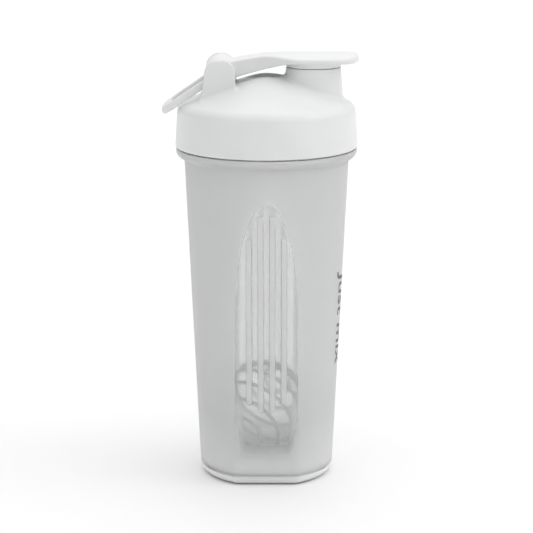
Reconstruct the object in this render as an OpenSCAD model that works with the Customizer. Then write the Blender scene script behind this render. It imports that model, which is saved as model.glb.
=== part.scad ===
// Protein shaker bottle: a tapered cup with two grip panels, a screw lid with a
// drinking spout, a flip cap with a thumb paddle, a carry loop and a loose wire whisk ball.
// Millimetres, +Z up. The origin is the centre of the base, on the bottle's axis.
// The spout points along +X and the carry loop hangs towards -X.

/* [Cup] */
// Radius of the cup where the wall meets the base fillet
base_r = 35.0; // [33:0.5:37]
// Radius of the cup just under the collar
body_top_r = 42.3; // [41.5:0.1:43]
// Thickness of the cup wall
wall = 1.9; // [1.5:0.1:2.2]
// Height of the inner floor above the table
floor_z = 5.0; // [3.5:0.5:6]
// Radius of the rounding round the base
base_fillet = 5.0; // [4:0.5:6]
// Height of the rim of the cup
rim_z = 191.5; // [191:0.1:192]

/* [Grip panel] */
// Height of the top of the arched grip panel
panel_top_z = 148.5; // [140:0.5:155]
// Depth of the grip panel at its middle, near the base
panel_depth = 3.9; // [2.5:0.1:4.5]
// Distance between two neighbouring grip ribs
rib_pitch = 5.9; // [5:0.1:6.5]
// Width of one grip rib
rib_w = 2.5; // [1.5:0.1:3]

/* [Lid] */
// Largest radius of the lid's skirt
lid_r = 47.0; // [46.8:0.1:48]
// Height of the lower edge of the skirt
skirt_z = 174.0; // [173.8:0.1:174.5]
// Rise of the lid dome for each millimetre towards the axis
dome_slope = 0.40; // [0.36:0.01:0.42]

/* [Thread] */
// Rise of the lid for one full turn
lead = 6.0; // [5.5:0.5:6.5]
// Number of turns of thread on the neck and in the lid
thread_turns = 1.25; // [0.75:0.25:1.25]

/* [Spout and flip cap] */
// Distance of the spout from the bottle's axis
spout_x = 24.0; // [23:0.5:25]
// Outer radius of the spout and of the cap skirt that closes it
spout_r = 14.1; // [13.8:0.1:14.4]
// Distance of the hinge axis from the bottle's axis, towards -X
hinge_back = 23.7; // [23.5:0.1:23.9]
// Height of the hinge axis
hinge_z = 212.7; // [212.5:0.1:213]
// Radius of the hinge axle
axle_r = 2.0; // [1.5:0.1:2.5]

/* [Whisk ball] */
// Outer radius of the wire whisk ball
ball_r = 26.4; // [20:0.2:27]
// Diameter of the steel wire
wire_d = 2.0; // [1.6:0.1:2.4]
// Number of turns of wire from pole to pole
ball_turns = 7.8; // [6:0.2:9]

/* [Hidden] */
$fn = 96;

// Cup
body_top_z = 166;           // where the straight wall ends
collar_z = 173.4;           // top of the collar that stops the lid
collar_r = 46.6;
collar_round = 4.2;         // rounding of the collar's lower edge
neck_r = 42.0;              // outside of the neck, at the thread's root
mouth_r = 40.3;             // inside of the neck
taper = (body_top_r - base_r) / (body_top_z - base_fillet);
panel_bend_z = 95;          // the panel runs straight below this and bends outwards above
inner_fillet = 5;
rib_proud = 0.55;           // how far a rib stands out of the panel
rib_inner_z = [40.5, 144.7];
rib_outer_z = [45, 132.6];

// Lid
lid_top_r = 45.9;           // outside of the skirt where the shoulder starts
shoulder_z = 191.6;
shoulder_r = 6;
skirt_in_r = 43.75;
ceiling_z = 193.6;          // inside of the lid over the rim
ring_r = 39.6;              // outside of the ring that plugs the mouth
ring_w = 1.2;
ring_z = 187;
dome_wall = 2.6;
dome_flat_z = 205.6;        // inside of the dome under the finger channel
channel_w = 16;
channel_z = 207.8;
channel_x = [-30, 1.3];     // the open end, and the centre of the round end
slope_a = atan(dome_slope);
dome_edge_r = lid_top_r - shoulder_r + shoulder_r * sin(slope_a);
dome_edge_z = shoulder_z + shoulder_r * cos(slope_a);
function dome_z(r) = dome_edge_z + dome_slope * (dome_edge_r - r);

// Threads: ridges of the same section, one on the neck and one in the lid
ridge_root = 1.1;           // half height of a ridge at its root
ridge_crest = 0.5;          // half height of a ridge at its crest
neck_ridge_r = 43.3;
lid_ridge_r = 42.35;
neck_ridge_z = 178;
mesh_gap = 1.65;            // how far the lid's ridge lies below the neck's
ridge_sink = 0.25;          // how far a ridge is sunk into its wall
ridge_step = 7.5;

// Seal
seal_gap = 0.05;             // play round the seal

// Spout and flip cap
spout_foot_r = 15.4;
spout_seat_z = 214.8;       // the step that the cap's skirt closes on
spout_neck_r = 12.3;
spout_top_z = 218.1;
spout_bore_r = 10.4;
cap_skirt_in_r = 12.9;
cap_gap = 0.3;
cap_roof_z = 218.5;         // inside of the cap over the spout
arm_w = 18;
flare_x = [-6, 20];         // where the arm widens into the paddle
paddle_w = 30;
paddle_tip_x = 47.5;
paddle_corner = 11;
paddle_bottom_z = 217.5;
nose_z = 219.4;             // height of the paddle's tip
crown_r = 40;               // radius across the top of the paddle
cap_top_z = 222.5;
barrel_r = 7.6;

// Hinge posts and carry loop
post_in_y = 12.9;
post_w = 4.0;
post_r = 7.8;
post_edge = 2;              // rounding of a post's outer top edge
post_foot = [9.7, 8.0];     // reach of a post's foot behind and ahead of the hinge
post_drop = 18;             // how far a post reaches down into the dome
pocket_r = 8.0;             // hollow in the dome that clears the cap's barrel
loop_out_y = 12.6;
loop_in_y = 9.3;
loop_ear_r = 7.5;
loop_thick = 3.8;
loop_end = [-52.2, 193.5];
loop_corner = 10;
bar_w = 5.6;                // width of the loop's end bar
running_gap = 0.08;         // radial play of the cap and loop on the axle

// Hinge axle
axle_y = [-15.2, 16.0];     // the blind end, and where the head starts
axle_head_r = 3.1;
axle_head_h = 0.9;

// Whisk ball: a wire wound from pole to pole of a sphere
ball_pos = [-2, 3, floor_z + ball_r];
ball_turn = [0, 112, -116]; // leans the poles over
pole_gap = 8;               // angle from the pole to the wire's end
wire_start = 200;
wire_sides = 6;
ball_steps = 20;            // rings of wire facets in one turn

function arc(cx, cy, r, a0, a1, n) =
    [for (i = [0:n]) let (a = a0 + (a1 - a0) * i / n) [cx + r * cos(a), cy + r * sin(a)]];
function body_r(z) = base_r + taper * (z - base_fillet);
// Distance of the flat grip panel from the axis at a height
function panel_y(z) =
    let (low = body_r(base_fillet) - panel_depth,
         slope = (body_r(panel_bend_z) - 3.1 - low) / (panel_bend_z - base_fillet),
         up = max(0, z - panel_bend_z),
         bend = (body_r(panel_top_z) - low - slope * (panel_top_z - base_fillet))
                / pow(panel_top_z - panel_bend_z, 2))
    low + slope * (z - base_fillet) + bend * up * up;

// A ridge of trapezoid section that climbs round the axis, thinning out at both ends
module ridge(r_root, r_crest, z0, turns) {
    n = ceil(turns * 360 / ridge_step);
    points = [for (i = [0:n]) let (a = i * ridge_step, z = z0 + lead * a / 360,
                  fade = min(1, min(i, n - i) / 3),
                  rc = r_root + (r_crest - r_root) * max(fade, 0.15))
              each [[r_root * cos(a), r_root * sin(a), z - ridge_root],
                    [rc * cos(a), rc * sin(a), z - ridge_crest],
                    [rc * cos(a), rc * sin(a), z + ridge_crest],
                    [r_root * cos(a), r_root * sin(a), z + ridge_root]]];
    outward = r_crest > r_root;
    sides = [for (i = [0:n-1], k = [0:3])
             let (a = 4 * i + k, b = 4 * i + (k + 1) % 4)
             each [[a, a + 4, b], [b, a + 4, b + 4]]];
    ends = [[0, 1, 2], [0, 2, 3], [4*n + 2, 4*n + 1, 4*n], [4*n + 3, 4*n + 2, 4*n]];
    faces = concat(sides, ends);
    polyhedron(points, outward ? [for (f = faces) [f[2], f[1], f[0]]] : faces);
}

// Everything in front of the grip panel on one side, moved inwards by inset. A fillet
// of radius r joins the panel to the flat at height foot.
module panel_cut(inset, foot, r) {
    zs = [panel_bend_z, 103, 111, 119, 127, 135, 143, 151, 160];
    y0 = panel_y(foot + r) - inset;
    rotate([90, 0, 90]) linear_extrude(100, center = true)
        polygon(concat([[y0 - r, foot - 1]], arc(y0 - r, foot + r, r, -90, 0, 6),
                       [for (z = zs) [panel_y(z) - inset, z]],
                       [[80, 160], [80, foot - 1]]));
}

module rib(x, zs) {
    low = panel_y(zs[0]);
    high = panel_y(zs[1]);
    translate([x - rib_w / 2, 0, 0]) rotate([90, 0, 90]) linear_extrude(rib_w)
        polygon(concat(
            [for (i = [0:6]) let (z = zs[0] + (zs[1] - zs[0]) * i / 6) [panel_y(z) - 0.5, z]],
            [for (i = [6:-1:0]) let (z = zs[0] + (zs[1] - zs[0]) * i / 6)
                [panel_y(z) + rib_proud, z]]));
}

module both_sides() {
    children();
    mirror([0, 1, 0]) children();
}

module cup_outside() {
    rotate_extrude() polygon(concat(
        [[0, 0]],
        arc(base_r - base_fillet, base_fillet, base_fillet, -90, 0, 6),
        [[body_top_r, body_top_z], [body_top_r + 0.4, 168.2]],
        arc(collar_r - collar_round, collar_z - 1, collar_round, -60, 0, 5),
        [[collar_r, collar_z - 0.5], [collar_r - 0.5, collar_z],
         [neck_r, collar_z], [neck_r, rim_z - 0.6], [neck_r - 0.6, rim_z], [0, rim_z]]));
}

module cup_inside() {
    r0 = body_r(base_fillet) - wall;
    rotate_extrude() polygon(concat(
        [[0, floor_z]],
        arc(r0 - inner_fillet, floor_z + inner_fillet, inner_fillet, -90, 0, 5),
        [[body_top_r - wall - 0.3, body_top_z], [mouth_r, 175],
         [mouth_r, rim_z + 1], [0, rim_z + 1]]));
}

module cup_body() {
    color([0.82, 0.83, 0.83]) difference() {
        union() {
            difference() {
                cup_outside();
                both_sides() panel_cut(0, 0, base_fillet);
            }
            both_sides() {
                for (x = [-0.5, 0.5]) rib(x * rib_pitch, rib_inner_z);
                for (x = [-1.5, 1.5]) rib(x * rib_pitch, rib_outer_z);
            }
            ridge(neck_r - ridge_sink, neck_ridge_r, neck_ridge_z, thread_turns);
        }
        difference() {
            cup_inside();
            both_sides() panel_cut(wall, floor_z, inner_fillet);
        }
    }
}

module lid_blank() {
    rotate_extrude() polygon(concat(
        [[0, ring_z], [0, dome_z(0)]],
        arc(lid_top_r - shoulder_r, shoulder_z, shoulder_r, 90 - slope_a, 0, 6),
        [[lid_r, skirt_z + 1.5], [lid_r - 0.5, skirt_z],
         [skirt_in_r, skirt_z], [skirt_in_r, ceiling_z], [ring_r, ceiling_z],
         [ring_r, ring_z]]));
}

module lid_hollow() {
    in_r = ring_r - ring_w;
    flat_r = (dome_z(0) - dome_wall - dome_flat_z) / dome_slope;
    rotate_extrude() polygon([
        [0, ring_z - 1], [in_r, ring_z - 1], [in_r, dome_z(in_r) - dome_wall],
        [flat_r, dome_flat_z], [0, dome_flat_z]]);
}

// The hollow under the cap's arm, open towards the hinge and round towards the spout
module finger_channel() {
    translate([0, 0, channel_z]) linear_extrude(10) {
        translate([channel_x[1], 0]) circle(channel_w / 2);
        translate([channel_x[0], -channel_w / 2])
            square([channel_x[1] - channel_x[0], channel_w]);
    }
}

module spout() {
    translate([spout_x, 0, 0]) rotate_extrude() polygon([
        [0, 197], [spout_foot_r, 197], [spout_r, spout_seat_z],
        [spout_neck_r, spout_seat_z], [spout_neck_r, spout_top_z - 0.5],
        [spout_neck_r - 0.5, spout_top_z], [0, spout_top_z]]);
}

module spout_bore() {
    translate([spout_x, 0, 0]) rotate_extrude() polygon([
        [0, 190], [12.2, 190], [12.2, 203], [spout_bore_r, 209],
        [spout_bore_r, 230], [0, 230]]);
}

// A hinge post: its front outline and its side outline, each pulled through the other
module post() {
    intersection() {
        translate([-hinge_back, 0, hinge_z]) rotate([90, 0, 0])
            linear_extrude(60, center = true) polygon(concat(
                arc(0, 0, post_r, 0, 180, 14),
                [[-post_foot[0], -15], [-post_foot[0], -post_drop],
                 [post_foot[1], -post_drop], [post_foot[1], -8]]));
        translate([0, post_in_y, hinge_z]) rotate([90, 0, 90])
            linear_extrude(100, center = true) polygon(concat(
                [[0, -post_drop], [post_w, -post_drop]],
                arc(post_w - post_edge, post_r - post_edge, post_edge, 0, 90, 5),
                [[0, post_r]]));
    }
}

module lid_shell() {
    color([0.95, 0.95, 0.95]) difference() {
        union() {
            lid_blank();
            spout();
            both_sides() post();
            ridge(skirt_in_r + ridge_sink, lid_ridge_r, neck_ridge_z - mesh_gap, thread_turns);
        }
        lid_hollow();
        finger_channel();
        spout_bore();
        translate([-hinge_back, 0, hinge_z]) rotate([90, 0, 0])
            cylinder(h = 2 * post_in_y - 0.3, r = pocket_r, center = true);
        translate([-hinge_back, axle_y[0] - 0.2, hinge_z]) rotate([-90, 0, 0]) {
            cylinder(h = 50, r = axle_r + 0.02);
            translate([0, 0, axle_y[1] - axle_y[0] + 0.1])
                cylinder(h = 10, r = axle_head_r + 0.02);
        }
    }
}

module lid_seal() {
    z0 = rim_z + seal_gap;
    z1 = ceiling_z - seal_gap;
    color([0.80, 0.82, 0.84]) rotate_extrude() polygon([
        [ring_r + seal_gap, z0 + 0.3], [ring_r + 0.7, z0], [skirt_in_r - 0.9, z0],
        [skirt_in_r - 0.3, z0 + 0.6], [skirt_in_r - 0.3, z1], [ring_r + seal_gap, z1]]);
}

// The cap's arm and paddle seen from the side, x from the bottle's axis
module cap_side() {
    upper = [40, cap_top_z - nose_z];       // where the nose starts, and its half height
    lower = [42, nose_z - paddle_bottom_z];
    polygon(concat(
        [[-22, 218.0], [-15.4, 219.0], [-7, 220.4], [0, 221.4], [8, 222.1], [16, cap_top_z]],
        [for (a = [90:-15:0])
            [upper[0] + (paddle_tip_x - upper[0]) * cos(a), nose_z + upper[1] * sin(a)]],
        [for (a = [-30:-30:-90])
            [lower[0] + (paddle_tip_x - lower[0]) * cos(a), nose_z + lower[1] * sin(a)]],
        [[16, paddle_bottom_z], [10, 217.1], [5, 216.0], [-2, 214.2], [-10.8, 211.8],
         [-15.4, 210.4], [-22, 210.5]]));
}

module cap_plan() {
    swing = (paddle_w - arm_w) / 4;
    side = concat(
        [[-32, arm_w / 2]],
        [for (i = [0:8]) [flare_x[0] + (flare_x[1] - flare_x[0]) * i / 8,
                          arm_w / 2 + swing * (1 - cos(180 * i / 8))]],
        arc(paddle_tip_x + 0.1 - paddle_corner, paddle_w / 2 - paddle_corner, paddle_corner,
            90, 0, 6));
    polygon(concat(side, [for (i = [len(side) - 1:-1:0]) [side[i].x, -side[i].y]]));
}

module flip_cap() {
    color([0.96, 0.96, 0.96]) difference() {
        union() {
            intersection() {
                rotate([90, 0, 0]) linear_extrude(paddle_w + 1, center = true) cap_side();
                translate([0, 0, 200]) linear_extrude(30) cap_plan();
                translate([0, 0, cap_top_z - crown_r]) rotate([0, 90, 0])
                    cylinder(h = 200, r = crown_r, center = true);
            }
            translate([-hinge_back, 0, hinge_z]) rotate([90, 0, 0])
                cylinder(h = arm_w, r = barrel_r, center = true);
            translate([spout_x, 0, spout_seat_z + cap_gap])
                cylinder(h = cap_roof_z + 1 - spout_seat_z - cap_gap, r = spout_r);
        }
        translate([spout_x, 0, 200]) cylinder(h = cap_roof_z - 200, r = cap_skirt_in_r);
        translate([-hinge_back, 0, hinge_z]) rotate([90, 0, 0])
            cylinder(h = arm_w + 2, r = axle_r + running_gap, center = true);
    }
}

module spout_plug() {
    lip = 0.3;
    color([0.88, 0.89, 0.90]) translate([spout_x, 0, cap_roof_z]) rotate_extrude() polygon([
        [0, -1.3], [8.0, -1.3], [8.0, -3.5], [9.3, -3.5], [10.1, -1.8],
        [10.1, -lip], [spout_neck_r, -lip], [spout_neck_r, 0], [0, 0]]);
}

// Side view of one loop arm: the ear round the axle, and the straight arm with its round end
module loop_side() {
    hinge = [-hinge_back, hinge_z];
    run = loop_end - hinge;
    half = loop_thick / 2;
    translate(hinge) {
        circle(loop_ear_r);
        rotate(atan2(run[1], run[0]))
            polygon(concat([[0, -half]], arc(norm(run), 0, half, -90, 90, 8), [[0, half]]));
    }
}

module carry_loop() {
    far = loop_end[0] - loop_thick / 2 - 0.05;
    in_r = loop_corner - bar_w + 1;
    color([0.96, 0.96, 0.96]) difference() {
        intersection() {
            rotate([90, 0, 0]) linear_extrude(2 * loop_out_y, center = true) loop_side();
            translate([0, 0, 150]) linear_extrude(100) polygon(concat(
                arc(far + loop_corner, loop_out_y - loop_corner, loop_corner, 90, 180, 6),
                arc(far + loop_corner, loop_corner - loop_out_y, loop_corner, 180, 270, 6),
                [[0, -loop_out_y], [0, loop_out_y]]));
        }
        translate([0, 0, 149]) linear_extrude(102) polygon(concat(
            arc(far + bar_w + in_r, loop_in_y - in_r, in_r, 90, 180, 5),
            arc(far + bar_w + in_r, in_r - loop_in_y, in_r, 180, 270, 5),
            [[10, -loop_in_y], [10, loop_in_y]]));
        translate([-hinge_back, 0, hinge_z]) rotate([90, 0, 0])
            cylinder(h = 40, r = axle_r + running_gap, center = true);
    }
}

module hinge_pin() {
    color([0.90, 0.90, 0.90]) translate([-hinge_back, axle_y[0], hinge_z]) rotate([-90, 0, 0]) {
        cylinder(h = axle_y[1] - axle_y[0] + 0.2, r = axle_r);
        translate([0, 0, axle_y[1] - axle_y[0] + 0.1]) cylinder(h = axle_head_h, r = axle_head_r);
    }
}

// A point of the ball's wire, where t runs from 0 to 1 along it
function wire_at(t) =
    let (polar = pole_gap + (180 - 2 * pole_gap) * t, a = wire_start + 360 * ball_turns * t)
    (ball_r - wire_d / 2) * [sin(polar) * cos(a), sin(polar) * sin(a), cos(polar)];

module whisk_ball() {
    n = round(ball_turns * ball_steps);
    k = wire_sides;
    points = [for (i = [0:n])
        let (p = wire_at(i / n),
             along = wire_at((i + 0.1) / n) - wire_at((i - 0.1) / n),
             out = p / norm(p),
             side = cross(along / norm(along), out))
        for (j = [0:k-1]) p + wire_d / 2 * (out * cos(360 * j / k) + side * sin(360 * j / k))];
    faces = concat(
        [[for (j = [0:k-1]) j], [for (j = [k-1:-1:0]) n * k + j]],
        [for (i = [0:n-1], j = [0:k-1])
            let (a = i * k + j, b = i * k + (j + 1) % k) each [[a, a + k, b], [b, a + k, b + k]]]);
    color([0.75, 0.76, 0.77]) translate(ball_pos) rotate(ball_turn) polyhedron(points, faces);
}

cup_body();
lid_shell();
lid_seal();
flip_cap();
spout_plug();
carry_loop();
hinge_pin();
whisk_ball();
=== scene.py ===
# Protein shaker bottle: the looks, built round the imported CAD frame.
# Shapes are worked out in millimetres and turned into metres when a mesh is made.
import math

import bmesh
import bpy
import numpy as np
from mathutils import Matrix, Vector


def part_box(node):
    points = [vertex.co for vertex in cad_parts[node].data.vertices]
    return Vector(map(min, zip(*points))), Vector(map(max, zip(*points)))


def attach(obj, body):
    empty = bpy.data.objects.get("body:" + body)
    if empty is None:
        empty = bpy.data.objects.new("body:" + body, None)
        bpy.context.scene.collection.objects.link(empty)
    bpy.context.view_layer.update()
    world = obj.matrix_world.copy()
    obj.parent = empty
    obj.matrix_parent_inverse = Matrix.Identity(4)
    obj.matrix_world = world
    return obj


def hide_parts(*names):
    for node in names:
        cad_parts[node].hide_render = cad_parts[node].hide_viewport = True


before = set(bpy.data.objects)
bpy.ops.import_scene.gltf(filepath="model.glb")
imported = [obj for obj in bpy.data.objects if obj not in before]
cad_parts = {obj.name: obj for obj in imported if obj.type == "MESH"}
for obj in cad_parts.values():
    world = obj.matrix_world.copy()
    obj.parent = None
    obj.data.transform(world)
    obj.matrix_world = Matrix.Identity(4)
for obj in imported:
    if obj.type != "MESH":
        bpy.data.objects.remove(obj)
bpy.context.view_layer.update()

import openvdb
from mathutils import Euler, Matrix, Vector

MM = 0.001

# Spacing of the grids that the lid, the cap and the loop are carved from, in millimetres
lid_cell = 0.58
cap_cell = 0.42
loop_cell = 0.36


def box_mm(node):
    """Lowest and highest corner of a CAD node, in millimetres."""
    low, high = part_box(node)
    return Vector(low) / MM, Vector(high) / MM


# ---------------------------------------------------------------- dimensions
cup_high = box_mm("cup_body")[1]
lid_low, lid_high = box_mm("lid_shell")
cap_low, cap_high = box_mm("flip_cap")
loop_low, loop_high = box_mm("carry_loop")

# Cup
rim_z = cup_high.z
collar_r = cup_high.x
base_r = 35.0
base_fillet = 5.0
body_top_r = 42.3
body_top_z = 166.0
wall = 1.9
floor_z = 5.0
inner_fillet = 5.0
collar_z = 173.4
collar_round = 4.2           # rounding of the collar's lower edge
neck_r = 42.0
mouth_r = 40.3
taper = (body_top_r - base_r) / (body_top_z - base_fillet)
base_recess = 1.2            # how far the middle of the underside is lifted off the table

# Grip panels
panel_top_z = 148.5
panel_depth = 3.9
panel_bend_z = 95.0
panel_bend_depth = 3.1
crease = 0.8                 # softness of the edge between panel and round wall
rib_pitch = 5.9
rib_half = 1.25
rib_proud = 0.55
rib_soft = 0.2               # half width of the rounded step at a rib's edge
clear_from_z = (12.0, 24.0)  # the panel's polish fades in between these heights
edge_sharp_z = 60.0          # the panel's side edges are crisp above this height
edge_blur = 5.0              # width of their fade at its foot
ribs = [(-1.5, 45.0, 132.6), (-0.5, 40.5, 144.7), (0.5, 40.5, 144.7), (1.5, 45.0, 132.6)]

# Lid
skirt_z = lid_low.z
lid_r = lid_high.x
lid_top_r = 45.9
shoulder_z = 191.6
shoulder_r = 6.0
dome_slope = 0.40
skirt_in_r = 43.75
ceiling_z = 193.6
ring_r = 39.6
ring_w = 1.2
ring_z = 187.0
dome_wall = 2.6
dome_flat_z = 205.6
channel_half = 8.0
channel_z = 207.8
channel_end_x = 1.3

# Threads
lead = 6.0
thread_end = 450.0           # degrees of thread
thread_fade = 22.5
ridge_root = 1.1
ridge_crest = 0.5
neck_ridge_r = 43.3
lid_ridge_r = 42.35
neck_ridge_z = 178.0
mesh_gap = 1.65

# Spout, cap, hinge
spout_x = 24.0
spout_r = 14.1
spout_foot_r = 15.4
spout_seat_z = 214.8
spout_neck_r = 12.3
spout_top_z = 218.1
spout_bore_r = 10.4
cap_top_z = cap_high.z
paddle_tip_x = cap_high.x
paddle_half = cap_high.y
arm_half = 9.0
cap_skirt_in_r = 12.9
cap_roof_z = 218.5
cap_gap = 0.3
crown_r = 40.0
paddle_bottom_z = 217.5
nose_z = 219.4
paddle_corner = 11.0
barrel_r = 7.6
hinge_x = cap_low.x + barrel_r
hinge_z = 212.7
axle_r = 2.0
bore_r = axle_r + 0.08
post_in_y = 12.9
post_w = 4.0
post_r = 7.8
post_edge = 2.0              # rounding of a post's outer top edge
post_back = 9.7
post_front = 8.0
post_drop = 18.0
pocket_r = 8.0
loop_out_y = loop_high.y
loop_in_y = 9.3
loop_ear_r = 7.5
loop_half = 1.9
loop_end = (loop_low.x + loop_half + 0.05, 193.5)
loop_corner = 10.0
bar_w = 5.6
pin_y = (-15.2, 16.0)
pin_head_r = 3.1
pin_head_h = 0.9

# Whisk ball
ball_r = 26.4
ball_centre = Vector((-2.0, 3.0, floor_z + ball_r))
ball_lean = (0.0, 112.0, -116.0)
wire_r = 1.0
ball_turns = 7.8
pole_gap = 8.0
wire_start = 200.0
wire_tip = 0.25              # how far the rounded ends stand out


# ---------------------------------------------------------------- outlines
def arc(u, v, r, start, end, steps=8):
    """Points on an arc round (u, v), from one angle in degrees to another."""
    angles = np.radians(np.linspace(start, end, steps + 1))
    return [(u + r * math.cos(a), v + r * math.sin(a)) for a in angles]


def rounded(corners, steps=6):
    """A closed outline whose corners, each (u, v, radius), are turned into arcs."""
    out = []
    for i, (u, v, r) in enumerate(corners):
        here = Vector((u, v))
        back = Vector(corners[i - 1][:2]) - here
        ahead = Vector(corners[(i + 1) % len(corners)][:2]) - here
        if r <= 0:
            out.append((u, v))
            continue
        half = back.angle(ahead) / 2
        reach = min(r / math.tan(half), 0.49 * back.length, 0.49 * ahead.length)
        centre = here + (back.normalized() + ahead.normalized()).normalized() * reach / math.cos(half)
        first = here + back.normalized() * reach - centre
        last = here + ahead.normalized() * reach - centre
        turn = first.angle_signed(last)
        for k in range(steps + 1):
            arm = first.copy()
            arm.rotate(Matrix.Rotation(-turn * k / steps, 2))
            out.append(tuple(centre + arm))
    return out


# ---------------------------------------------------------------- distance fields
def outline_distance(points, u, v):
    """Signed distance to a closed outline, negative inside it."""
    nearest = np.float32(1e9)
    inside = np.False_
    for (u0, v0), (u1, v1) in zip(points, points[1:] + points[:1]):
        du, dv = u1 - u0, v1 - v0
        if du * du + dv * dv < 1e-12:
            continue
        pu, pv = u - u0, v - v0
        t = np.clip((pu * du + pv * dv) / (du * du + dv * dv), 0, 1)
        nearest = np.minimum(nearest, (pu - du * t) ** 2 + (pv - dv * t) ** 2)
        if dv:
            inside = inside ^ (((v >= v0) != (v >= v1)) & (pu < du * pv / dv))
    return np.where(inside, -1, 1) * np.sqrt(nearest)


def join(a, b, r):
    """The two shapes together, with a fillet of radius r where they meet."""
    return np.maximum(r, np.minimum(a, b)) - np.hypot(np.maximum(r - a, 0), np.maximum(r - b, 0))


def both(a, b, r):
    """What the two shapes share, with edges rounded by r."""
    return np.minimum(-r, np.maximum(a, b)) + np.hypot(np.maximum(r + a, 0), np.maximum(r + b, 0))


def cut(a, b, r):
    """The first shape without the second, with edges rounded by r."""
    return both(a, -b, r)


def settle(points, distance, reach):
    """Moves points onto the surface of a distance field."""
    eps = 0.02
    for _ in range(3):
        here = distance(*points.T)
        slope = np.stack([
            distance(*(points + step).T) - distance(*(points - step).T)
            for step in np.eye(3) * eps], axis=1) / (2 * eps)
        size = np.maximum((slope ** 2).sum(axis=1), 0.25)
        move = slope * (here / size)[:, None]
        points = points - np.clip(move, -reach, reach)
    return points


def carve(distance, low, high, cell):
    """Vertices and quads of the zero surface of a distance field inside a box."""
    axes = [np.arange(a - 2 * cell, b + 3 * cell, cell, dtype=np.float32) for a, b in zip(low, high)]
    grid_points = np.meshgrid(*axes, indexing="ij", sparse=True)
    band = 3 * cell
    values = np.clip(distance(*grid_points), -band, band).astype(np.float32)
    grid = openvdb.FloatGrid(band)
    grid.copyFromArray(np.ascontiguousarray(values))
    points, quads = grid.convertToQuads(0.0)
    points = np.array([a[0] for a in axes]) + points.astype(np.float64) * cell
    return settle(points, distance, cell / 2), quads.astype(np.int64)


# ---------------------------------------------------------------- meshes
def add_piece(name, points, faces, material, body, slot, *nodes):
    """A smooth mesh piece, from points in millimetres, that stands for CAD nodes."""
    mesh = bpy.data.meshes.new(name)
    sizes = [len(f) for f in faces]
    mesh.vertices.add(len(points))
    mesh.vertices.foreach_set("co", (np.asarray(points) * MM).astype(np.float32).ravel())
    mesh.loops.add(sum(sizes))
    mesh.loops.foreach_set("vertex_index", np.concatenate([np.asarray(f) for f in faces]))
    mesh.polygons.add(len(sizes))
    mesh.polygons.foreach_set("loop_start", np.cumsum([0] + sizes[:-1]))
    mesh.update(calc_edges=True)
    mesh.validate()
    mesh.shade_smooth()
    mesh.materials.append(material)
    piece = bpy.data.objects.new(name, mesh)
    bpy.context.scene.collection.objects.link(piece)
    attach(piece, body)
    if nodes:
        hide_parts(*nodes)
    return piece


def tube_faces(rows, columns, ring):
    """Faces of rows of columns that wrap round. A ring's last row meets its first.
    Otherwise two more vertices close the ends, the first row's and then the last row's."""
    faces = []
    for i in range(rows if ring else rows - 1):
        a, b = i * columns, (i + 1) % rows * columns
        for j in range(columns):
            k = (j + 1) % columns
            faces.append((a + j, a + k, b + k, b + j))
    if not ring:
        first, last = rows * columns, rows * columns + 1
        top = (rows - 1) * columns
        for j in range(columns):
            k = (j + 1) % columns
            faces.append((first, k, j))
            faces.append((last, top + j, top + k))
    return faces


def turned(outline, centre, steps=96, axis="Z"):
    """A body of revolution. An outline that starts and ends on the axis is closed there;
    any other outline is a ring."""
    ring = outline[0][0] > 1e-6
    rows = outline if ring else outline[1:-1]
    angles = np.linspace(0, 2 * math.pi, steps, endpoint=False)
    points = [(r * math.cos(a), r * math.sin(a), z) for r, z in rows for a in angles]
    if not ring:
        points += [(0, 0, outline[0][1]), (0, 0, outline[-1][1])]
    points = np.array(points)
    if axis == "Y":
        points = points[:, [1, 2, 0]]
    return points + np.array(centre), tube_faces(len(rows), steps, ring)


# ---------------------------------------------------------------- node helpers
def new_material(name):
    material = bpy.data.materials.new(name)
    material.use_nodes = True
    tree = material.node_tree
    return material, tree, tree.nodes["Principled BSDF"]


def add_node(tree, kind, **settings):
    node = tree.nodes.new(kind)
    for key, value in settings.items():
        if key in node.inputs:
            node.inputs[key].default_value = value
        else:
            setattr(node, key.lower(), value)
    return node


def noise(tree, scale, detail=3.0):
    """Noise in the object's own metres, so scale counts waves to a metre."""
    place = add_node(tree, "ShaderNodeTexCoord")
    node = add_node(tree, "ShaderNodeTexNoise", Scale=scale, Detail=detail)
    tree.links.new(place.outputs["Object"], node.inputs["Vector"])
    return node.outputs["Fac"]


def remap(tree, value, low, high, start=0.3, end=0.7):
    node = add_node(tree, "ShaderNodeMapRange")
    for socket, number in (("From Min", start), ("From Max", end), ("To Min", low), ("To Max", high)):
        node.inputs[socket].default_value = number
    tree.links.new(value, node.inputs["Value"])
    return node.outputs["Result"]


def mix(tree, value, low, high, kind="RGBA"):
    """A colour, or with kind "FLOAT" a number, between two ends, by a value from 0 to 1.
    Each end is fixed or comes from another node."""
    node = add_node(tree, "ShaderNodeMix", data_type=kind)
    for name, end in (("A", low), ("B", high)):
        if isinstance(end, bpy.types.NodeSocket):
            tree.links.new(end, node.inputs[name])
        else:
            node.inputs[name].default_value = (*end, 1) if kind == "RGBA" else end
    tree.links.new(value, node.inputs["Factor"])
    return node.outputs["Result"]


def combine(tree, operation, first, second):
    """The result of one sum on two values from other nodes."""
    node = add_node(tree, "ShaderNodeMath", operation=operation)
    tree.links.new(first, node.inputs[0])
    tree.links.new(second, node.inputs[1])
    return node.outputs[0]


def bump(tree, shader, height, depth, strength=1.0):
    node = add_node(tree, "ShaderNodeBump", Strength=strength, Distance=depth)
    tree.links.new(height, node.inputs["Height"])
    tree.links.new(node.outputs["Normal"], shader.inputs["Normal"])


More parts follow.
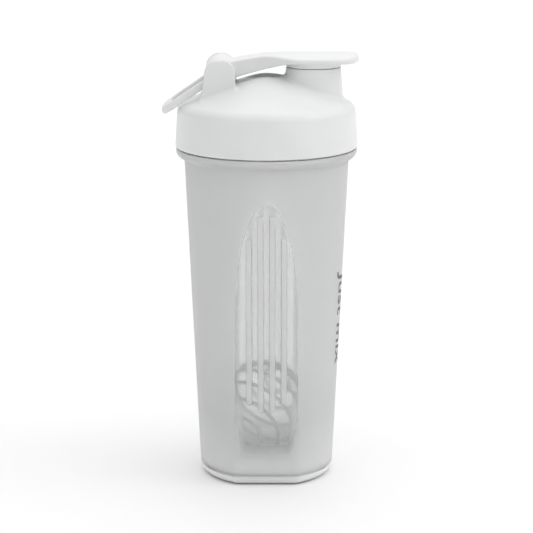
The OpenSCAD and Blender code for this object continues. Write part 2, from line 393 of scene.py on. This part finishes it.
# ---------------------------------------------------------------- materials
def moulded_plastic(name, light, rough):
    """White polypropylene: slightly uneven gloss and a very fine moulded grain."""
    material, tree, shader = new_material(name)
    cloud = noise(tree, 60, 4)
    dark = tuple(c * 0.965 for c in light)
    tree.links.new(mix(tree, remap(tree, cloud, 0, 1), dark, light), shader.inputs["Base Color"])
    tree.links.new(remap(tree, noise(tree, 240, 2), rough - 0.05, rough + 0.06),
                   shader.inputs["Roughness"])
    bump(tree, shader, noise(tree, 2600, 2), 0.000012)
    shader.inputs["IOR"].default_value = 1.49
    return material


etched_rough = 0.42
polished_rough = 0.10
etched_grey = (0.835, 0.84, 0.84)
base_painted_light_grey = (0.95, 0.955, 0.955)     # painted light: the thick base and the floor inside are lightened to lift the shade near the table
foot_painted_shade_grey = (0.74, 0.745, 0.745)     # painted shade: the rounded foot is darkened where it meets the table
polished_grey = (0.985, 0.99, 0.99)
etched_clear = 0.43                  # share of the light that passes through
base_clear = 0.34
polished_clear = 0.76
base_fade_z = (0.003, 0.036)         # heights in metres over which each look turns into the next
foot_fade_z = (0.001, 0.005)


def frosted_plastic():
    """The cup's clear plastic: etched outside, and polished inside and on the grip panels."""
    material, tree, shader = new_material("frosted_cup")
    polish = add_node(tree, "ShaderNodeAttribute", attribute_name="polish").outputs["Fac"]
    place = add_node(tree, "ShaderNodeTexCoord")
    split = add_node(tree, "ShaderNodeSeparateXYZ")
    tree.links.new(place.outputs["Object"], split.inputs[0])
    wall_share = remap(tree, split.outputs["Z"], 0, 1, *base_fade_z)
    foot_share = remap(tree, split.outputs["Z"], 0, 1, *foot_fade_z)

    # painted light: the lower part of the cup is lightened to lift the shade where it stands on the table
    grey = mix(tree, wall_share, base_painted_light_grey, etched_grey)
    # painted shade: the foot's colour is darkened along the table contact
    grey = mix(tree, foot_share, foot_painted_shade_grey, grey)
    tree.links.new(mix(tree, polish, grey, polished_grey), shader.inputs["Base Color"])

    clear = combine(tree, "MULTIPLY", remap(tree, wall_share, base_clear, etched_clear, 0, 1), foot_share)
    tree.links.new(mix(tree, polish, clear, polished_clear, "FLOAT"), shader.inputs["Transmission Weight"])

    cloud = remap(tree, noise(tree, 90, 3), -0.01, 0.01)
    rough = remap(tree, polish, etched_rough, polished_rough, 0, 1)
    tree.links.new(combine(tree, "ADD", rough, cloud), shader.inputs["Roughness"])
    bump(tree, shader, noise(tree, 1800, 2), 0.00002)
    shader.inputs["IOR"].default_value = 1.49
    return material


def silicone():
    material, tree, shader = new_material("silicone")
    tree.links.new(mix(tree, remap(tree, noise(tree, 150, 3), 0, 1), (0.66, 0.69, 0.72),
                       (0.74, 0.77, 0.80)), shader.inputs["Base Color"])
    tree.links.new(remap(tree, noise(tree, 400, 2), 0.42, 0.55), shader.inputs["Roughness"])
    bump(tree, shader, noise(tree, 3000, 2), 0.00001)
    shader.inputs["IOR"].default_value = 1.41
    return material


def drawn_steel():
    """Bright wire with fine drawing marks."""
    material, tree, shader = new_material("drawn_steel")
    tree.links.new(mix(tree, remap(tree, noise(tree, 500, 3), 0, 1), (0.48, 0.49, 0.50),
                       (0.62, 0.63, 0.64)), shader.inputs["Base Color"])
    tree.links.new(remap(tree, noise(tree, 1500, 3), 0.12, 0.22), shader.inputs["Roughness"])
    shader.inputs["Metallic"].default_value = 1.0
    bump(tree, shader, noise(tree, 4000, 2), 0.000008)
    return material


def print_ink():
    material, tree, shader = new_material("print_ink")
    tree.links.new(mix(tree, remap(tree, noise(tree, 2500, 3), 0, 1), (0.10, 0.105, 0.11),
                       (0.16, 0.165, 0.17)), shader.inputs["Base Color"])
    tree.links.new(remap(tree, noise(tree, 900, 2), 0.5, 0.7), shader.inputs["Roughness"])
    return material


# ---------------------------------------------------------------- cup
def smooth_step(value):
    value = np.clip(value, 0, 1)
    return value * value * (3 - 2 * value)


def body_r(z):
    """Radius of the round wall at a height."""
    return base_r + taper * (np.clip(z, base_fillet, body_top_z) - base_fillet)


def panel_y(z):
    """Distance of the grip panel from the axis at a height."""
    z = np.maximum(z, base_fillet)
    low = base_r - panel_depth
    slope = (body_r(panel_bend_z) - panel_bend_depth - low) / (panel_bend_z - base_fillet)
    straight = low + slope * (z - base_fillet)
    gap = body_r(panel_top_z) - low - slope * (panel_top_z - base_fillet)
    up = np.maximum(z - panel_bend_z, 0) / (panel_top_z - panel_bend_z)
    return straight + gap * up ** 2


def rib_height(x, z):
    """How far the grip ribs stand out of the panel."""
    height = 0.0
    for place, low, high in ribs:
        across = (rib_half + rib_soft - np.abs(x - place * rib_pitch)) / (2 * rib_soft)
        along = (np.minimum(z - low, high - z) + rib_soft) / (2 * rib_soft)
        height = height + smooth_step(across) * smooth_step(along)
    return rib_proud * height


def soft_min(a, b, soft):
    """The smaller of two values, blended where they come close."""
    blend = np.clip(0.5 + (b - a) / (2 * soft), 0, 1)
    return b + (a - b) * blend - soft * blend * (1 - blend)


def panel_columns():
    """Column places across one panel: crowded at the edges of the ribs, even elsewhere."""
    half = np.array([0.5, 0.95, 1.05, 1.15, 1.25, 1.35, 1.45, 1.75])
    offsets = np.concatenate([-half, [0], half])
    near = [place * rib_pitch + offsets for place, _, _ in ribs]
    reach = 1.5 * rib_pitch + half[-1]
    between = [np.array([c - 0.45, c + 0.45]) for c in (-rib_pitch, 0.0, rib_pitch)]
    outer = np.linspace(reach + 0.7, 17.5, 11)
    return np.unique(np.round(np.concatenate(near + between + [outer, -outer]), 4))


side_columns = 34            # columns between one panel's edge and the bottle's side
panel_x = panel_columns()


def column_angles(z):
    """Angles of every column at a height, once round. Panel columns keep their x."""
    flat = float(panel_y(z))
    first = np.arctan2(flat, panel_x[::-1])
    corner = first[0]
    side = np.linspace(math.pi - corner, math.pi + corner, 2 * side_columns + 1)[1:-1]
    half = np.concatenate([first, side])
    return np.concatenate([half, half + math.pi])


def panel_polish(x, z, inset):
    """How polished the panel is: less towards its foot, and towards its sides near the foot."""
    low, high = clear_from_z
    half_width = math.sqrt(max(body_r(z) ** 2 - panel_y(z) ** 2, 0))
    softness = 1 - smooth_step((z - low) / (edge_sharp_z - low))
    edge = smooth_step((half_width - inset / 2 - np.abs(x)) / edge_blur)
    return smooth_step((z - low) / (high - low)) * (1 - softness * (1 - edge))


def outer_ring(z, inset, ribbed=True):
    """Angles, radii and polish round the outside at a height, moved inwards by inset."""
    angle = column_angles(z)
    lift = np.maximum(np.abs(np.sin(angle)), 0.2)
    x = panel_y(z) * np.cos(angle) / lift
    raised = rib_height(x, z) if ribbed else 0.0
    radius = soft_min(body_r(z) - inset, (panel_y(z) + raised - inset) / lift, crease)
    cut_back = body_r(z) - inset - radius
    polish = smooth_step((cut_back - 0.02) / 0.12) * (1 - raised / rib_proud)
    return angle, radius, polish * panel_polish(x, z, inset)


def thread_height(angle, z, start_z):
    """From 0 to 1: how far the climbing thread rises out of its wall at an angle and height."""
    height = 0.0
    for turn in (0, 360):
        along = np.degrees(angle) % 360 + turn
        fade = np.clip(np.minimum(along, thread_end - along) / thread_fade, 0, 1)
        off = np.abs(z - start_z - lead * along / 360)
        height = np.maximum(height, smooth_step((ridge_root - off) / (ridge_root - ridge_crest)) * fade)
    return height


def cup_rings():
    """Every ring from the middle of the underside, up the outside, over the rim and down inside.
    Each holds the angle, radius, height and polish of its columns."""
    rings = []

    def add(z, inset=0.0, scale=1.0, radius=None, polish=None, ribbed=True, least=0.0):
        angle, wall_radius, shine = outer_ring(z, inset, ribbed)
        r = wall_radius if radius is None else np.zeros_like(angle) + radius
        height = np.zeros_like(angle) + z
        shine = least + (1 - least) * shine if polish is None else np.full_like(angle, polish)
        rings.append((angle, r * scale, height, shine))

    # Underside and the rounding round it
    for scale in (0.25, 0.5, 0.68, 0.74, 0.78, 0.82, 0.88, 0.96):
        add(0, base_fillet, scale, polish=0.0, ribbed=False)
        lift = base_recess * (1 - smooth_step((scale - 0.7) / 0.12))
        rings[-1] = (*rings[-1][:2], rings[-1][2] + lift, rings[-1][3])
    for a in np.radians(np.linspace(0, 90, 9)):
        add(base_fillet * (1 - math.sin(a)), base_fillet * (1 - math.cos(a)), ribbed=False)
    # Wall, with more rings where the ribs end and the panel bends outwards
    rib_ends = [z + d for _, low, high in ribs for z in (low, high) for d in (-0.2, -0.1, 0, 0.1, 0.2)]
    heights = np.concatenate([np.arange(8, 38, 2.0), np.arange(38, 48, 1.0), np.arange(48, 96, 2.0),
                              np.arange(96, 153, 0.75), np.arange(153, 166, 1.6), rib_ends])
    for z in np.unique(np.round(heights, 3)):
        add(z)
    # Collar, threaded neck and rim
    collar = [(body_top_r, body_top_z), (body_top_r + 0.15, 167.4), (body_top_r + 0.5, 168.3)]
    collar += arc(collar_r - collar_round, collar_z - 1, collar_round, -58, 0, 8)
    collar += arc(collar_r - 0.45, collar_z - 0.45, 0.45, 15, 90, 4)
    collar += [(neck_r + 0.9, collar_z), (neck_r + 0.25, collar_z + 0.07), (neck_r, collar_z + 0.3)]
    for r, z in collar:
        add(z, radius=r, polish=0.0)
    for z in np.arange(175, 188.3, 0.33):
        add(z, radius=neck_r, polish=0.3)
        angle, r, height, shine = rings[-1]
        rings[-1] = (angle, r + (neck_ridge_r - neck_r) * thread_height(angle, z, neck_ridge_z),
                     height, shine)
    rim = [(neck_r, 189.5)] + arc(neck_r - 0.6, rim_z - 0.6, 0.6, 0, 90, 5)
    rim += arc(mouth_r + 0.5, rim_z - 0.5, 0.5, 90, 180, 5) + [(mouth_r, 188.0), (mouth_r, 181.0)]
    for r, z in rim:
        add(z, radius=r, polish=0.4)
    # Inside of the neck, of the wall and of the base
    add(175.5, radius=mouth_r, polish=1.0)
    add(173.5, radius=mouth_r - 0.03, polish=1.0)
    add(171, radius=body_top_r - wall - 0.15, polish=1.0)
    for z in np.concatenate([np.arange(166, 96, -2.2), np.arange(96, 10.4, -4.0)]):
        add(z, wall, ribbed=False, least=0.8)
    for a in np.radians(np.linspace(0, 90, 7)):
        z = floor_z + inner_fillet * (1 - math.sin(a))
        add(z, wall + inner_fillet * (1 - math.cos(a)), polish=0.0, ribbed=False)
    for scale in (0.9, 0.7, 0.4, 0.15):
        add(floor_z, wall + inner_fillet, scale, polish=0.0, ribbed=False)
    return rings


def make_cup(material):
    rings = cup_rings()
    angle, radius, height, shine = (np.array(part) for part in zip(*rings))
    points = np.stack([radius * np.cos(angle), radius * np.sin(angle), height], axis=-1).reshape(-1, 3)
    points = np.concatenate([points, [(0, 0, base_recess), (0, 0, floor_z)]])
    cup = add_piece("cup", points, tube_faces(*angle.shape, False), material,
                    "cup", "cup_plastic", "cup_body")
    polish = cup.data.attributes.new("polish", "FLOAT", "POINT")
    polish.data.foreach_set("value", np.concatenate([shine.ravel(), [0.0, 0.0]]).astype(np.float32))
    return cup


# ---------------------------------------------------------------- lettering
words = "Just mix"
letter_size = 15.0           # height of a line of the lettering
letter_start_z = 109.0       # the words read downwards from here
letter_base_angle = -18.0    # where the letters stand, in degrees from +X towards +Y
letter_sink = 0.03
letter_proud = 0.04
letter_slice = 0.8           # width of the strips that follow the round wall
letter_slant = 0.15          # shear of the upright letters
letter_bold = 0.2            # how much the strokes are thickened


def make_lettering(material):
    """Printed words on the cup's side: flat letters, wrapped onto the wall as a thin layer."""
    curve = bpy.data.curves.new("words", "FONT")
    curve.body = words
    curve.size = letter_size
    curve.shear = letter_slant
    curve.offset = letter_bold
    curve.resolution_u = 6
    flat = bpy.data.objects.new("words", curve)
    layer = bmesh.new()
    layer.from_mesh(flat.to_mesh())
    flat.to_mesh_clear()
    bpy.data.objects.remove(flat)
    bpy.data.curves.remove(curve)
    bmesh.ops.remove_doubles(layer, verts=layer.verts, dist=0.003)
    heights = [v.co.y for v in layer.verts]
    for height in np.arange(min(heights) + letter_slice / 2, max(heights), letter_slice):
        bmesh.ops.bisect_plane(layer, geom=layer.verts[:] + layer.edges[:] + layer.faces[:],
                               plane_co=(0, height, 0), plane_no=(0, 1, 0), dist=1e-4)
    bmesh.ops.dissolve_degenerate(layer, edges=layer.edges, dist=1e-3)
    top = bmesh.ops.extrude_face_region(layer, geom=layer.faces[:], use_keep_orig=True)
    raised = {v for v in top["geom"] if isinstance(v, bmesh.types.BMVert)}
    for v in layer.verts:
        z = letter_start_z - v.co.x
        turn = math.radians(letter_base_angle) + v.co.y / body_r(z)
        r = body_r(z) + (letter_proud if v in raised else -letter_sink)
        v.co = (r * math.cos(turn), r * math.sin(turn), z)
    bmesh.ops.recalc_face_normals(layer, faces=layer.faces)
    # bmesh hands out its parts in an order that changes from run to run, so they are sorted
    verts = sorted(layer.verts, key=lambda v: v.co[:])
    number = {v: i for i, v in enumerate(verts)}
    points = np.array([v.co[:] for v in verts])
    faces = []
    for face in layer.faces:
        corners = [number[v] for v in face.verts]
        first = corners.index(min(corners))
        faces.append(tuple(corners[first:] + corners[:first]))
    layer.free()
    piece = add_piece("lettering", points, sorted(faces), material, "cup", "cup_plastic")
    piece.data.shade_flat()
    return piece


# ---------------------------------------------------------------- lid
slope_angle = math.degrees(math.atan(dome_slope))
dome_edge_r = lid_top_r - shoulder_r + shoulder_r * math.sin(math.radians(slope_angle))
dome_edge_z = shoulder_z + shoulder_r * math.cos(math.radians(slope_angle))


def dome_z(r):
    return dome_edge_z + dome_slope * (dome_edge_r - r)


def lid_outline():
    shoulder = arc(lid_top_r - shoulder_r, shoulder_z, shoulder_r, 90 - slope_angle, 0, 12)
    skirt = rounded([(lid_top_r, shoulder_z, 0), (lid_r, skirt_z + 1.2, 0.8),
                     (lid_r - 0.4, skirt_z, 0.5), (skirt_in_r, skirt_z, 0.4),
                     (skirt_in_r, ceiling_z, 0.3), (ring_r, ceiling_z, 0.2), (ring_r, ring_z, 0.5),
                     (0, ring_z, 0)])
    return [(0, dome_z(0))] + shoulder + skirt[1:]


def hollow_outline():
    inside = ring_r - ring_w
    flat_r = (dome_z(0) - dome_wall - dome_flat_z) / dome_slope
    return rounded([(0, ring_z - 2, 0), (inside, ring_z - 2, 0), (inside, dome_z(inside) - dome_wall, 3),
                    (flat_r, dome_flat_z, 2), (0, dome_flat_z, 0)])


def mirrored(half):
    """A half outline from the axis to the axis, with its mirror image added."""
    return half + [(-u, v) for u, v in half[-2:0:-1]]


lid_profile = mirrored(lid_outline())
hollow_profile = mirrored(hollow_outline())
spout_profile = mirrored(rounded([
    (0, 192, 0), (spout_foot_r, 197, 0), (spout_r, spout_seat_z, 0.3),
    (spout_neck_r, spout_seat_z, 0.3), (spout_neck_r, spout_top_z, 0.7), (0, spout_top_z, 0)]))
bore_profile = mirrored(rounded([
    (0, 188, 0), (12.2, 188, 0), (12.2, 203, 1), (spout_bore_r, 209, 2), (spout_bore_r, 232, 0),
    (0, 232, 0)]))
post_side = (arc(0, 0, post_r, 0, 180, 20)
             + [(-post_back, -15), (-post_back, -post_drop), (post_front, -post_drop), (post_front, -8)])
post_end = ([(0, -post_drop), (post_w, -post_drop)]
            + arc(post_w - post_edge, post_r - post_edge, post_edge, 0, 90, 10) + [(0, post_r)])
channel_plan = ([(-40, -channel_half)] + arc(channel_end_x, 0, channel_half, -90, 90, 20)
                + [(-40, channel_half)])


def lid_thread(x, y, z):
    """Distance to the ridge inside the skirt that engages the cup's thread."""
    r = np.hypot(x, y)
    along_first = np.degrees(np.arctan2(y, x)) % 360
    ridge = np.float32(1e9)
    for turn in (0, 360):
        along = along_first + turn
        fade = np.clip(np.minimum(along, thread_end - along) / thread_fade, 0.05, 1)
        crest = skirt_in_r - (skirt_in_r - lid_ridge_r) * fade
        off = np.abs(z - neck_ridge_z + mesh_gap - lead * along / 360)
        half = ridge_crest + (ridge_root - ridge_crest) * (r - lid_ridge_r) / (skirt_in_r - lid_ridge_r)
        body = np.maximum((off - half) * 0.92, crest - r)
        body = np.where(along > thread_end, 5.0, body)
        ridge = np.minimum(ridge, np.maximum(body, r - skirt_in_r - 0.4))
    return ridge


def hinge_distance(x, z):
    return np.hypot(x - hinge_x, z - hinge_z)


def lid_distance(x, y, z):
    r = np.hypot(x, y)
    shape = outline_distance(lid_profile, r, z)
    shape = join(shape, outline_distance(spout_profile, np.hypot(x - spout_x, y), z), 2.5)
    side = outline_distance(post_side, x - hinge_x, z - hinge_z)
    end = outline_distance(post_end, np.abs(y) - post_in_y, z - hinge_z)
    shape = join(shape, both(side, end, 0.35), 2.2)
    pocket = both(hinge_distance(x, z) - pocket_r, np.abs(y) - post_in_y + 0.1, 0.3)
    shape = cut(shape, pocket, 0.3)
    shape = cut(shape, outline_distance(hollow_profile, r, z), 0.4)
    shape = join(shape, lid_thread(x, y, z), 0.2)
    channel = both(outline_distance(channel_plan, x, y), channel_z - z, 1.5)
    shape = cut(shape, channel, 0.7)
    shape = cut(shape, outline_distance(bore_profile, np.hypot(x - spout_x, y), z), 0.5)
    hole = both(hinge_distance(x, z) - axle_r - 0.02, pin_y[0] - 0.2 - y, 0.2)
    recess = both(hinge_distance(x, z) - pin_head_r - 0.02, pin_y[1] + 0.1 - y, 0.1)
    return cut(shape, np.minimum(hole, recess), 0.25)


def make_lid(material):
    points, quads = carve(lid_distance, lid_low, lid_high, lid_cell)
    return add_piece("lid", points, quads, material, "lid", "lid_plastic", "lid_shell")


# ---------------------------------------------------------------- flip cap
def nose(start, half_height, first, last, steps):
    """Part of the ellipse that rounds the paddle's tip, seen from the side."""
    turns = np.radians(np.linspace(first, last, steps + 1))
    return [(start + (paddle_tip_x - start) * math.cos(a), nose_z + half_height * math.sin(a))
            for a in turns]


cap_side = ([(-22, 218.0), (-15.4, 219.0), (-11, 219.8), (-7, 220.45), (-3.5, 221.0), (0, 221.45),
             (4, 221.85), (8, 222.15), (12, 222.38), (16, cap_top_z)]
            + nose(40, cap_top_z - nose_z, 90, 0, 14)
            + nose(42, nose_z - paddle_bottom_z, -10, -90, 8)
            + [(16, paddle_bottom_z), (12.5, 217.4), (10, 217.1), (7.5, 216.65), (5, 216.0),
               (1.5, 215.1), (-2, 214.2), (-6.5, 213.0), (-10.8, 211.8), (-15.4, 210.4), (-22, 210.5)])
flare_x = (-6.0, 20.0)       # where the arm widens into the paddle
flare_swing = (paddle_half - arm_half) / 2
flare = [(flare_x[0] + (flare_x[1] - flare_x[0]) * i / 12,
          arm_half + flare_swing * (1 - math.cos(math.pi * i / 12))) for i in range(13)]
cap_half_plan = ([(-33, arm_half)] + flare
                 + arc(paddle_tip_x - paddle_corner, paddle_half - paddle_corner, paddle_corner, 90, 0, 12))
cap_plan = cap_half_plan + [(u, -v) for u, v in cap_half_plan[::-1]]


def cap_distance(x, y, z):
    side = outline_distance(cap_side, x, z)
    plan = outline_distance(cap_plan, x, y)
    crown = np.hypot(y, z - cap_top_z + crown_r) - crown_r
    shape = both(both(side, crown, 0.6), plan, 0.9)
    barrel = both(hinge_distance(x, z) - barrel_r, np.abs(y) - arm_half, 0.6)
    shape = join(shape, barrel, 1.2)
    spout_away = np.hypot(x - spout_x, y)
    skirt = both(spout_away - spout_r, np.maximum(spout_seat_z + cap_gap - z, z - cap_roof_z - 1), 0.5)
    shape = join(shape, skirt, 0.8)
    shape = cut(shape, both(spout_away - cap_skirt_in_r, z - cap_roof_z, 0.4), 0.4)
    return cut(shape, hinge_distance(x, z) - bore_r, 0.3)


def make_cap(material):
    points, quads = carve(cap_distance, cap_low, cap_high, cap_cell)
    return add_piece("cap", points, quads, material, "cap", "cap_plastic", "flip_cap")


# ---------------------------------------------------------------- carry loop
def capsule(start, end, r, u, v):
    du, dv = end[0] - start[0], end[1] - start[1]
    t = np.clip(((u - start[0]) * du + (v - start[1]) * dv) / (du * du + dv * dv), 0, 1)
    return np.hypot(u - start[0] - du * t, v - start[1] - dv * t) - r


loop_far = loop_low.x
loop_in_r = loop_corner - bar_w + 1
loop_plan = (arc(loop_far + loop_corner, loop_out_y - loop_corner, loop_corner, 90, 180, 12)
             + arc(loop_far + loop_corner, loop_corner - loop_out_y, loop_corner, 180, 270, 12)
             + [(0, -loop_out_y), (0, loop_out_y)])
loop_hole = (arc(loop_far + bar_w + loop_in_r, loop_in_y - loop_in_r, loop_in_r, 90, 180, 10)
             + arc(loop_far + bar_w + loop_in_r, loop_in_r - loop_in_y, loop_in_r, 180, 270, 10)
             + [(10, -loop_in_y), (10, loop_in_y)])


def loop_distance(x, y, z):
    hinge = (hinge_x, hinge_z)
    side = join(capsule(hinge, loop_end, loop_half, x, z), hinge_distance(x, z) - loop_ear_r, 2.0)
    shape = both(side, outline_distance(loop_plan, x, y), 0.9)
    shape = cut(shape, outline_distance(loop_hole, x, y), 0.9)
    return cut(shape, hinge_distance(x, z) - bore_r, 0.3)


def make_loop(material):
    points, quads = carve(loop_distance, loop_low, loop_high, loop_cell)
    return add_piece("loop", points, quads, material, "loop", "loop_plastic", "carry_loop")


# ---------------------------------------------------------------- turned pieces
def make_seal(material):
    low, high = box_mm("lid_seal")
    inner, outer = ring_r + 0.05, high.x
    outline = rounded([(inner, low.z + 0.3, 0.2), (inner + 0.65, low.z, 0.3),
                       (outer - 0.6, low.z, 0.4), (outer, low.z + 0.6, 0.4),
                       (outer, high.z, 0.25), (inner, high.z, 0.25)], 4)
    points, faces = turned(outline, (0, 0, 0), 160)
    return add_piece("seal", points, faces, material, "seal", "seal_rubber", "lid_seal")


def make_plug(material):
    low, high = box_mm("spout_plug")
    lip_r, brim_r = 10.1, high.x - spout_x
    corners = [(8.0, low.z + 2.2, 0.4), (8.0, low.z, 0.3), (9.3, low.z, 0.5), (lip_r, low.z + 1.7, 0.5),
               (lip_r, high.z - 0.3, 0.1), (brim_r, high.z - 0.3, 0.1), (brim_r, high.z, 0.1)]
    outline = rounded([(0, low.z + 2.2, 0)] + corners + [(0, high.z, 0)], 4)
    points, faces = turned(outline, (spout_x, 0, 0), 96)
    return add_piece("plug", points, faces, material, "cap", "seal_rubber", "spout_plug")


def make_pin(material):
    low, high = box_mm("hinge_pin")
    corners = [(axle_r, low.y, 0.4), (axle_r, high.y - pin_head_h, 0.15),
               (pin_head_r, high.y - pin_head_h, 0.15), (pin_head_r, high.y, 0.35)]
    outline = rounded([(0, low.y, 0)] + corners + [(0, high.y, 0)], 4)
    points, faces = turned(outline, (hinge_x, 0, hinge_z), 48, axis="Y")
    return add_piece("pin", points, faces, material, "lid", "pin_plastic", "hinge_pin")


# ---------------------------------------------------------------- whisk ball
def wire_at(t):
    """A point on the wire's centre line, with t from 0 to 1 along it."""
    polar = math.radians(pole_gap + (180 - 2 * pole_gap) * t)
    around = math.radians(wire_start + 360 * ball_turns * t)
    return (ball_r - wire_r) * Vector((math.sin(polar) * math.cos(around),
                                       math.sin(polar) * math.sin(around), math.cos(polar)))


def make_whisk(material):
    steps, sides = round(ball_turns * 48), 12
    turn = Euler([math.radians(a) for a in ball_lean]).to_matrix()
    rows = []
    for t in (i / steps for i in range(steps + 1)):
        centre = wire_at(t)
        along = (wire_at(t + 1e-4) - wire_at(t - 1e-4)).normalized()
        out = centre.normalized()
        side = along.cross(out)
        rows.append([centre + wire_r * (out * math.cos(a) + side * math.sin(a))
                     for a in np.linspace(0, 2 * math.pi, sides, endpoint=False)])
    tips = [wire_at(0) - (wire_at(1e-4) - wire_at(0)).normalized() * wire_tip,
            wire_at(1) + (wire_at(1) - wire_at(1 - 1e-4)).normalized() * wire_tip]
    points = [ball_centre + turn @ p for row in rows for p in row]
    points += [ball_centre + turn @ p for p in tips]
    faces = [f[::-1] for f in tube_faces(len(rows), sides, False)]
    return add_piece("whisk", np.array(points), faces, material, "whisk", "whisk_steel", "whisk_ball")


# ---------------------------------------------------------------- floor, light, camera
def make_floor():
    """A wide pale floor that curves up far behind the bottle."""
    half_width, front, back = 12.0, -12.0, 3.2
    profile = [(front, 0.0), (-0.6, 0.0), (0.6, 0.0), (back, 0.0)]
    profile += [(back + 1.0 * math.sin(a), 1.0 - math.cos(a)) for a in np.radians(np.linspace(9, 90, 10))]
    profile.append((back + 1.0, 3.5))
    points = [(x, y, z - 0.0002) for y, z in profile for x in (-half_width, half_width)]
    faces = [(2 * i, 2 * i + 1, 2 * i + 3, 2 * i + 2) for i in range(len(profile) - 1)]
    mesh = bpy.data.meshes.new("floor")
    mesh.from_pydata(points, [], faces)
    mesh.shade_smooth()
    material, tree, shader = new_material("floor_paper")
    tree.links.new(mix(tree, remap(tree, noise(tree, 6, 2), 0, 1), (0.93, 0.93, 0.93), (0.95, 0.95, 0.95)),
                   shader.inputs["Base Color"])
    shader.inputs["Roughness"].default_value = 0.9
    shader.inputs["Specular IOR Level"].default_value = 0.1
    mesh.materials.append(material)
    floor = bpy.data.objects.new("floor", mesh)
    bpy.context.scene.collection.objects.link(floor)


def soft_light(name, place, target, size, power):
    light = bpy.data.lights.new(name, "AREA")
    light.shape = "DISK"
    light.size = size
    light.energy = power
    lamp = bpy.data.objects.new(name, light)
    lamp.location = place
    lamp.rotation_euler = (Vector(target) - Vector(place)).to_track_quat("-Z", "Y").to_euler()
    bpy.context.scene.collection.objects.link(lamp)
    return lamp


horizon_light = 0.16
side_light = 0.15            # how much brighter the sky is on the right, and darker on the left
zenith_light = 1.45


def make_lights():
    world = bpy.data.worlds.new("studio")
    world.use_nodes = True
    tree = world.node_tree
    place = add_node(tree, "ShaderNodeTexCoord")
    split = add_node(tree, "ShaderNodeSeparateXYZ")
    tree.links.new(place.outputs["Generated"], split.inputs[0])
    strength = add_node(tree, "ShaderNodeMath", operation="MULTIPLY_ADD")
    tree.links.new(split.outputs["X"], strength.inputs[0])
    strength.inputs[1].default_value = side_light
    tree.links.new(remap(tree, split.outputs["Z"], horizon_light, zenith_light, 0, 1), strength.inputs[2])
    tree.links.new(strength.outputs[0], tree.nodes["Background"].inputs["Strength"])
    tree.nodes["Background"].inputs["Color"].default_value = (1, 1, 1, 1)
    bpy.context.scene.world = world
    middle = (0, 0, 0.12)
    soft_light("key", (1.3, -0.3, 1.2), middle, 1.0, 3.2)
    soft_light("backdrop", (0, 2.6, 1.8), (0, 2.6, 0), 2.0, 7)


def make_camera():
    """The bottle is seen from a little above, through a long lens."""
    camera = bpy.data.cameras.new("camera")
    camera.sensor_width = 36
    camera.lens = 132.49
    viewer = bpy.data.objects.new("camera", camera)
    viewer.location = (0, -1.0, 0.34059)
    viewer.rotation_euler = (math.pi / 2 - 0.2267, 0, 0)
    bpy.context.scene.collection.objects.link(viewer)
    bpy.context.scene.camera = viewer


make_camera()
make_floor()
make_lights()
bpy.context.scene.view_settings.view_transform = "Standard"

white = moulded_plastic("white_plastic", (0.815, 0.82, 0.82), 0.33)
cup_material = frosted_plastic()
silicone_material = silicone()

make_cup(cup_material)
make_lettering(print_ink())
make_lid(white)
make_cap(white)
make_loop(white)
make_pin(moulded_plastic("pin_plastic", (0.80, 0.80, 0.80), 0.40))
make_seal(silicone_material)
make_plug(silicone_material)
make_whisk(drawn_steel())
